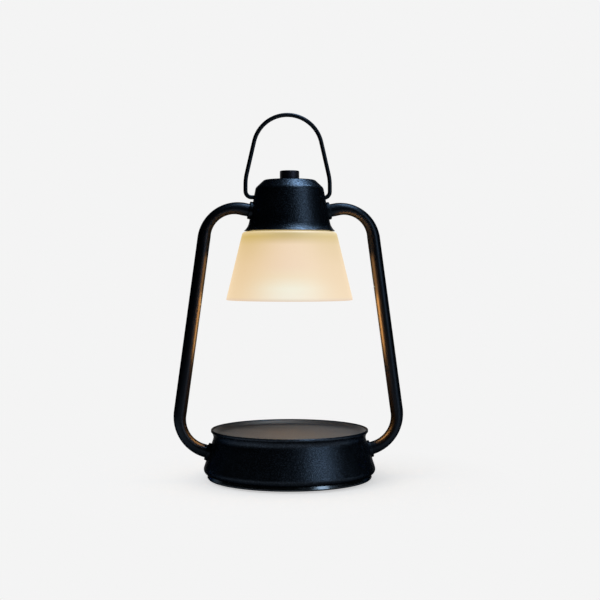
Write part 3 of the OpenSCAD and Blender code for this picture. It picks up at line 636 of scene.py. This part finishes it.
# %% Cap
SKIRT_Z = 202.6
CAP_TOP_R, CAP_TOP_Z = 20.7, 244.0
SHOULDER = (27.6, 237.5)
CAP_SLOPE = math.radians(10.9)
FLARE_Z = 209.5
FLARE_R = 12.0
FLARE_STEPS = 10
CAP_WALL = 1.5
# How far the corners inside lie in from those outside: at the shoulder, and at the top's edge.
SHOULDER_IN, SHOULDER_DOWN = 1.4, 0.5
TOP_IN = 0.8


def cap_radius(z):
    """Radius of the cap's coned side at a height, in mm."""
    return SHOULDER[0] + (SHOULDER[1] - z) * math.tan(CAP_SLOPE)


def flare(inset):
    """Points down the hollow flare, from the coned side to the skirt, drawn in by an inset."""
    middle_r = cap_radius(FLARE_Z) + FLARE_R * math.cos(CAP_SLOPE)
    middle_z = FLARE_Z + FLARE_R * math.sin(CAP_SLOPE)
    radius = FLARE_R + inset
    start, end = math.pi / 2 - CAP_SLOPE, math.acos((middle_z - SKIRT_Z) / radius)
    points = []
    for i in range(FLARE_STEPS + 1):
        a = start + (end - start) * i / FLARE_STEPS
        points.append((middle_r - radius * math.sin(a), middle_z - radius * math.cos(a), 0))
    return points


outside = [(0, CAP_TOP_Z, 0), (CAP_TOP_R, CAP_TOP_Z, 1.0), (*SHOULDER, 1.2)] + flare(0)
under_z = CAP_TOP_Z - CAP_WALL
inside = flare(CAP_WALL)[::-1] + [
    (SHOULDER[0] - SHOULDER_IN, SHOULDER[1] - SHOULDER_DOWN, 0),
    (CAP_TOP_R - TOP_IN, under_z, 0), (0, under_z, 0)]
make_piece(
    "cap_bell", turned(outside + inside), "lamp_frame", powder_coat, "black_coat", "cap",
    sharp=50)

# %% [markdown]
# ## The knob
#
# A plain turned knob with a fine rounded edge and a hollow underside. A bevelled cylinder would
# look the same from above, but it would have no room for the nut under it. The knob turns with
# the dimmer's shaft, so it rides on the knob body.

# %% Knob
KNOB_Z = 244.3
KNOB_TOP_Z = 251.4
KNOB_R = 7.9
HOLLOW_R, HOLLOW_Z = KNOB_R - 1, KNOB_TOP_Z - 3

knob_section = [
    (0, KNOB_TOP_Z, 0), (KNOB_R, KNOB_TOP_Z, 0.7), (KNOB_R, KNOB_Z, 0.25), (HOLLOW_R, KNOB_Z, 0),
    (HOLLOW_R, HOLLOW_Z, 0), (3, HOLLOW_Z, 0), (0, HOLLOW_Z, 0)]
make_piece(
    "knob", turned(knob_section, steps=96), "knob", knob_black, "knob_black", "dimmer_knob")

# %% [markdown]
# ## Bends
#
# The arms and the bail are bent from straight stock. A bender makes true arcs with straights
# between them. A curve pulled by hand could follow such a line, but its handles would have to be
# found by trying. So a bend is worked out as stations round a circle, and between two bends one
# straight touches both circles.

# %% Helpers for bends
PRESS_POWER = 0.8


def heading(angle):
    """A direction in the plane of the arms, at an angle above the X axis."""
    return Vector((math.cos(angle), 0, math.sin(angle)))


def touching(first, first_r, second, second_r):
    """The angle at which one straight leaves a circle and meets a second one, outside both."""
    between = second - first
    return math.atan2(between.z, between.x) - math.acos((first_r - second_r) / between.length)


def bend(centre, radius, start, end, flat=0, count=22):
    """Stations round a bend: a point on the line, the way it runs, and how much it is pressed."""
    stations = []
    for i in range(count + 1):
        t = i / count
        a = start + (end - start) * t
        press = flat * math.sin(math.pi * t) ** PRESS_POWER
        stations.append((centre + radius * heading(a), heading(a + math.pi / 2), press))
    return stations


print("helpers for bends: heading, touching, bend")

# %% [markdown]
# ## The line of an arm
#
# Each arm is one bent tube. It leaves the base on a short straight, bends up, runs up a long
# straight that leans inwards, and bends over into the cap. Each end stands square on its cone.
# The places of the two bends could be typed in, but they follow from the two ends, so they are
# worked out, and the line stays true if an end moves.

# %% Line of an arm
BASE_SLOPE = math.radians(18)
ARM_BASE_R, ARM_BASE_Z = 65.624, 23.2
ARM_CAP_Z = 218.9
CAP_RUN = 7.6
LINE_REACH = 89.3
LOW_R, TOP_R = 27.8, 26.0

base_point, base_dir = Vector((ARM_BASE_R, 0, ARM_BASE_Z)), heading(BASE_SLOPE)
cap_point, cap_dir = Vector((cap_radius(ARM_CAP_Z), 0, ARM_CAP_Z)), heading(CAP_SLOPE)
base_run = (LINE_REACH - base_point.x - LOW_R * (1 - math.sin(BASE_SLOPE))) / math.cos(BASE_SLOPE)
low_c = base_point + base_run * base_dir + LOW_R * heading(BASE_SLOPE + math.pi / 2)
top_c = cap_point + CAP_RUN * cap_dir + TOP_R * heading(CAP_SLOPE - math.pi / 2)
lean = touching(low_c, LOW_R, top_c, TOP_R)
print(f"the arms lean inwards by {math.degrees(lean):.1f} degrees")

# %% [markdown]
# A curve with a round bevel would make a tube of even thickness, but a tube that is bent without
# a core flattens a little in the bends, which the real arms show. So rings are set along the
# line, each one pressed in the plane of the bend by as much as the bend is deep, and bridged into
# a tube.

# %% Helpers for tubes
BULGE = 0.4


def tube(stations, radius, sides=40):
    """Rings at the stations, bridged one to the next. A pressed ring bulges out sideways."""
    bm = bmesh.new()
    across = Vector((0, 1, 0))
    rings = []
    for i, (point, run, press) in enumerate(stations):
        turn = Matrix((run.cross(across), across, run)).transposed().to_4x4()
        shape = Matrix.Diagonal((1 - press, 1 + press * BULGE, 1, 1))
        ring = bmesh.ops.create_circle(
            bm, segments=sides, radius=radius * MM, cap_ends=i in (0, len(stations) - 1),
            matrix=Matrix.Translation(point * MM) @ turn @ shape)
        inside_ring = set(ring["verts"])
        rings.append([e for e in bm.edges if set(e.verts) <= inside_ring])
    for first, second in zip(rings, rings[1:]):
        bmesh.ops.bridge_loops(bm, edges=first + second)
    bmesh.ops.recalc_face_normals(bm, faces=bm.faces[:])
    return bm


def to_the_left(bm):
    """Mirrors a mesh from the right of the lamp to its left."""
    bmesh.ops.scale(bm, vec=(-1, 1, 1), verts=bm.verts[:])
    bmesh.ops.recalc_face_normals(bm, faces=bm.faces[:])


print("helpers for tubes: tube, to_the_left")

# %% [markdown]
# ## The arms
#
# Each tube begins a little inside the base's wall and ends a little inside the cap's. The ends of
# the CAD solid go on further in to carry the nuts, but they can't be seen and are left out. The
# left arm is the mirror image of the right one. A Mirror modifier would make both at once, but
# they are two parts, so the mesh is made twice and mirrored once.

# %% Arms
TUBE_R = 5.25
FLAT_LOW, FLAT_TOP = 0.09, 0.15
TUCKED_IN = 2

arm_line = [(base_point - TUCKED_IN * base_dir, base_dir, 0)]
arm_line += bend(low_c, LOW_R, BASE_SLOPE - math.pi / 2, lean, FLAT_LOW)
arm_line += bend(top_c, TOP_R, lean, math.pi / 2 + CAP_SLOPE, FLAT_TOP)
arm_line.append((cap_point - TUCKED_IN * cap_dir, -cap_dir, 0))
for name in ("right_arm", "left_arm"):
    bm = tube(arm_line, TUBE_R)
    if name == "left_arm":
        to_the_left(bm)
    make_piece(name + "_tube", bm, "lamp_frame", rod_black, "black_coat", name)

# %% [markdown]
# ## The collars
#
# A collar hides each hole where an arm goes in. It is a short turned ring with rounded edges,
# and its inner end is shaped to sit on the cone behind it. Cutting it with the cone would leave
# long thin faces at the rim. So the ring is turned straight, laid on the arm's line, and then
# each point of its inner end slides along that line until it meets the cone.

# %% Collars
COLLAR_R = 7.2
COLLAR_T = 2.2
COLLAR_ROOT = -1.5
SEAT_GAP = 0.05
CONE_FOOT_R, CONE_FOOT_Z = 69.804, 10.336
SLIDES = 6


def base_radius(z):
    """Radius of the base's coned side at a height, in mm."""
    return CONE_FOOT_R - (z - CONE_FOOT_Z) * math.tan(BASE_SLOPE)


def collar(point, direction, cone):
    """A ring on the line through point, seated on the cone that gives a radius for a height."""
    bm = turned([
        (TUBE_R + SEAT_GAP, COLLAR_T, 0.15), (COLLAR_R, COLLAR_T, 0.5),
        (COLLAR_R, COLLAR_ROOT, 0), (TUBE_R + SEAT_GAP, COLLAR_ROOT, 0)], steps=48)
    inner = [v for v in bm.verts if v.co.z < 0]
    turn = direction.to_track_quat("Z", "Y").to_matrix().to_4x4()
    bmesh.ops.transform(bm, matrix=Matrix.Translation(point * MM) @ turn, verts=bm.verts[:])
    for vert in inner:
        for _ in range(SLIDES):
            spot = vert.co / MM
            vert.co += direction * (cone(spot.z) - math.hypot(spot.x, spot.y)) * MM
    bmesh.ops.recalc_face_normals(bm, faces=bm.faces[:])
    return bm


for hand in ("right", "left"):
    for end, point, direction, cone in (
            ("base", base_point, base_dir, base_radius), ("cap", cap_point, cap_dir, cap_radius)):
        bm = collar(point, direction, cone)
        if hand == "left":
            to_the_left(bm)
        node = f"{hand}_{end}_collar"
        make_piece(node + "_ring", bm, "lamp_frame", rod_black, "black_coat", node)

# %% [markdown]
# ## The bail
#
# The bail is a bent wire: a half circle on top, a slow sweep down each side, a tight corner, and
# a pin into the cap. A curve object would be shorter to write, but its arcs are only nearly
# round. So its line is drawn for one half as a few bends and mirrored for the other, and the same
# rings as for the arms make it a wire. The whole wire hangs a little to the left, because its
# pins have play in their holes. It swings, so it rides on the bail's body.

# %% Bail
WIRE_R = 1.7
PIN_END, PIVOT_Z = 23.1, 229.7
PLAY = Vector((-1.4, 0, 0))
ARCH_C, ARCH_R = Vector((0, 0, 268.5)), 28.2
SWEEP_C, SWEEP_R = Vector((-7.5, 0, 239.7)), 42.0
CORNER_C, CORNER_R = Vector((29.5, 0, 234.7)), 5.0

meet = touching(SWEEP_C, SWEEP_R, ARCH_C, ARCH_R)
half = [(Vector((PIN_END, 0, PIVOT_Z)), heading(0), 0)]
half += bend(CORNER_C, CORNER_R, -math.pi / 2, 0, count=10)
half += bend(SWEEP_C, SWEEP_R, 0, meet, count=14)
half += bend(ARCH_C, ARCH_R, meet, math.pi / 2, count=28)
other = [(Vector((-p.x, 0, p.z)), Vector((d.x, 0, -d.z)), 0) for p, d, _ in reversed(half[:-1])]
wire_line = [(point + PLAY, run, 0) for point, run, _ in half + other]
make_piece("bail_wire", tube(wire_line, WIRE_R, sides=24), "bail", rod_black, "black_coat", "bail")

# %% [markdown]
# ## The shade
#
# The shade is a glass cone with an open mouth and a flat top. A cone with a Solidify modifier
# would be quicker, but pressed glass has no sharp edge. So it is turned from a section whose rim
# and crown are rounded.

# %% Shade
MOUTH_R, MOUTH_Z = 51.7, 146.3
CROWN_R, CROWN_Z = 38.15, 201.9
MOUTH_IN_R, CROWN_IN_R = 49.13, 36.2
CROWN_HOLE_R = 20.9
CROWN_T = 2.5

glass = frosted_glass(MOUTH_Z, CROWN_Z)
under_z = CROWN_Z - CROWN_T
shade_section = [
    (MOUTH_R, MOUTH_Z, 0.9), (CROWN_R, CROWN_Z, 2.4), (CROWN_HOLE_R, CROWN_Z, 0.5),
    (CROWN_HOLE_R, under_z, 0.5), (CROWN_IN_R, under_z, 0.6), (MOUTH_IN_R, MOUTH_Z, 0.9)]
make_piece(
    "shade_glass", turned(shade_section), "lamp_frame", glass, "frosted_glass", "glass_shade",
    sharp=60)

# %% [markdown]
# ## The plate
#
# The plate is a shallow dish turned from aluminium and anodised a matt dark grey. The CAD solid
# could stay, but the corner between its floor and its slope is sharp, and on the real dish it is
# a soft line. So the dish is turned again with that corner rounded.

# %% Plate
DISH_R, DISH_Z = 58.2, 37.6
DISH_UNDER_R, DISH_UNDER_Z = 58.8, 35.8
RIM_IN, RIM_OUT = (61.9, 40.45), (62.6, 40.5)

dish_section = [
    (0, DISH_Z, 0), (DISH_R, DISH_Z, 2.0), (*RIM_IN, 0.3), (*RIM_OUT, 0.15),
    (DISH_UNDER_R, DISH_UNDER_Z, 0), (0, DISH_UNDER_Z, 0)]
dish = make_piece(
    "dish", turned(dish_section), "lamp_frame", plate_grey, "plate_grey", "warming_plate")

# %% [markdown]
# ## The bottom cover
#
# The cover is pressed from sheet, with a rounded edge that draws a bright line along the foot of
# the base. It could be turned like the cap, but then its screw holes would have to be cut again.
# They are already right in the CAD mesh, so that mesh is taken over, its outer wall is cut into
# bands, and each band is drawn in further the higher it is.

# %% Bottom cover
COVER_R, COVER_LOW, COVER_HIGH = 67.2, 1.5, 5.5
WALL_DEPTH = 0.2
WALL_CUTS = 5
DRAWN_IN, DRAW_POWER = 1.1, 1.3


def on_cover_wall(vert):
    """Whether a point lies on the cover's outer wall."""
    return vert.co.xy.length > (COVER_R - WALL_DEPTH) * MM


bm = bmesh.new()
bm.from_mesh(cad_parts["bottom_cover"].data)
bmesh.ops.remove_doubles(bm, verts=bm.verts[:], dist=WELD)
wall_edges = [
    e for e in bm.edges
    if all(on_cover_wall(v) for v in e.verts) and abs(e.verts[0].co.z - e.verts[1].co.z) > MM]
bmesh.ops.subdivide_edges(bm, edges=wall_edges, cuts=WALL_CUTS)
for vert in bm.verts:
    if on_cover_wall(vert):
        high = (vert.co.z / MM - COVER_LOW) / (COVER_HIGH - COVER_LOW)
        radius = COVER_R - DRAWN_IN * max(high, 0) ** DRAW_POWER
        vert.co.xy *= radius / (vert.co.xy.length / MM)
bmesh.ops.recalc_face_normals(bm, faces=bm.faces[:])
print("cover wall edges:", len(wall_edges))
make_piece(
    "cover_pressed", bm, "lamp_frame", gloss_black, "gloss_black", "bottom_cover", sharp=50)

# %% [markdown]
# ## The bulb
#
# From below, the shade shows a reflector bulb with a pressed glass front. The lens is a shallow
# dome with a rim, and it shines. Its pattern of small cells could be modelled, but the cells are
# tiny and deep inside the shade, so a Voronoi texture draws them in the glow and as a bump.

# %% Bulb
LENS_Z, LENS_R, LENS_T = 157.2, 25.0, 2
LENS_RIM_R = 22.6
# The dome's corners: radius, height above the rim, and rounding.
LENS_DOME = ((22.0, 0.6, 0.3), (12, 0.25, 2), (0, 0.1, 0))
LENS_COLOUR = (0.9, 0.8, 0.6, 1)
LENS_GLOW = ((0.0, (1.0, 0.78, 0.45)), (1.0, (1.0, 0.6, 0.28)))
CELLS_PER_METRE = 350
CELL_DEPTH = 0.3

lens_glow, tree, shader = new_material("lens_glow")
cells = tree.nodes.new("ShaderNodeTexVoronoi")
set_inputs(tree, cells, Vector=place_of(tree), Scale=CELLS_PER_METRE)
set_inputs(
    tree, shader, Base_Color=LENS_COLOUR, Roughness=0.2, Emission_Strength=2.0,
    Emission_Color=ramp_of(tree, cells.outputs["Distance"], LENS_GLOW),
    Normal=relief_of(tree, cells.outputs["Distance"], CELL_DEPTH))
lens_section = [
    (0, LENS_Z + LENS_T, 0), (LENS_R, LENS_Z + LENS_T, 0.2), (LENS_R, LENS_Z, 0.5),
    (LENS_RIM_R, LENS_Z, 0.3)]
lens_section += [(r, LENS_Z + up, rounding) for r, up, rounding in LENS_DOME]
make_piece(
    "bulb_front", turned(lens_section, steps=96), "lamp_frame", lens_glow, "bulb_glass",
    "bulb_lens")

# %% [markdown]
# ## The warm light
#
# The lit bulb and shade also warm the plate and the inner sides of the arms. The lens and the
# glass could do that by themselves, but small bright meshes make grainy light. So a disc under
# the lens shines on the plate, and small panels beside the shade and under it shine outwards, in
# mirrored pairs. They hang where the air is empty on the real lamp, so they are told to leave out
# the floor, and the panels the plate as well, which they would tint.

# %% Warm light
WARM = (1.0, 0.6, 0.28)
EMBER = (1.0, 0.34, 0.072)
DISC_Z, DISC_SIZE = (LENS_Z - 0.7) * MM, 0.044
DISC_SPREAD = math.radians(60)
PANEL_WIDTH = 0.03
# Each panel: its X and Z, those of its aim, its height, its watts, and its spread in degrees.
PANELS = {
    "glow_low": ((0.034, 0.123), (0.2, 0.123), 0.055, 0.24, 130),
    "glow_side": ((0.053, 0.16), (0.2, 0.16), 0.04, 0.045, 130),
    "glow_high": ((0.057, 0.186), (0.074, 0.25), 0.016, 0.026, 90),
    "glow_foot": ((0.032, 0.085), (0.08, 0.036), 0.03, 0.05, 90),
}

bulb_light = softbox("bulb_light", (0, 0, DISC_Z), (0, 0, 0), DISC_SIZE, DISC_SIZE, 0.05, WARM)
bulb_light.data.shape = "DISK"
bulb_light.data.spread = DISC_SPREAD
panels = []
for name, ((x, z), (aim_x, aim_z), height, watts, spread) in PANELS.items():
    for side in (1, -1):
        panel = softbox(
            f"{name}_{side}", (side * x, 0, z), (side * aim_x, 0, aim_z), PANEL_WIDTH, height,
            watts, EMBER)
        panel.data.spread = math.radians(spread)
        panels.append(panel)
keep_light_off([bulb_light], floor)
keep_light_off(panels, floor, dish)
print("warm lamps:", 1 + len(panels))

# %% [markdown]
# ## Finishes for the solids that stay
#
# The base's shell and the parts inside already have their true shape as CAD solids. Modelling
# them again would add nothing that can be seen, so they keep that shape and only get a finish.

# %% Finishes on CAD nodes
KEPT = {
    powder_coat: ["base_shell"],
    inside_finish["rubber_black"]: ["feet", "cord_grommet"],
    inside_finish["zinc_steel"]: [
        "plate_washer", "plate_nut", "cover_screws", "base_saddle_washers", "base_arm_nuts",
        "cap_saddle_washers", "cap_arm_nuts", "shade_carrier", "holder_screws", "dimmer_nut",
        "bail_stops"],
    inside_finish["bright_aluminium"]: ["shade_ring", "bulb_reflector", "dimmer_shaft"],
    inside_finish["contact_brass"]: ["terminal_screws", "bulb_pins"],
    inside_finish["ceramic"]: ["lamp_holder", "bulb_base"],
    inside_finish["white_silicone"]: ["shade_gasket"],
    inside_finish["block_plastic"]: ["terminal_block"],
    inside_finish["dimmer_plastic"]: ["dimmer_body"],
    inside_finish["board_green"]: ["dimmer_board"],
    inside_finish["lead_blue"]: ["neutral_lead"],
    inside_finish["lead_brown"]: ["live_lead", "switch_lead"],
    lens_glow: ["bulb_capsule"],
}
for material, names in KEPT.items():
    for name in names:
        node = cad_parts[name]
        node.data.materials.clear()
        node.data.materials.append(material)
print("CAD nodes kept:", sum(len(names) for names in KEPT.values()))

# %% [markdown]
# ## The end
#
# The plain view transform shows colours as they are written.

# %% Picture settings
scene.view_settings.view_transform = "Standard"
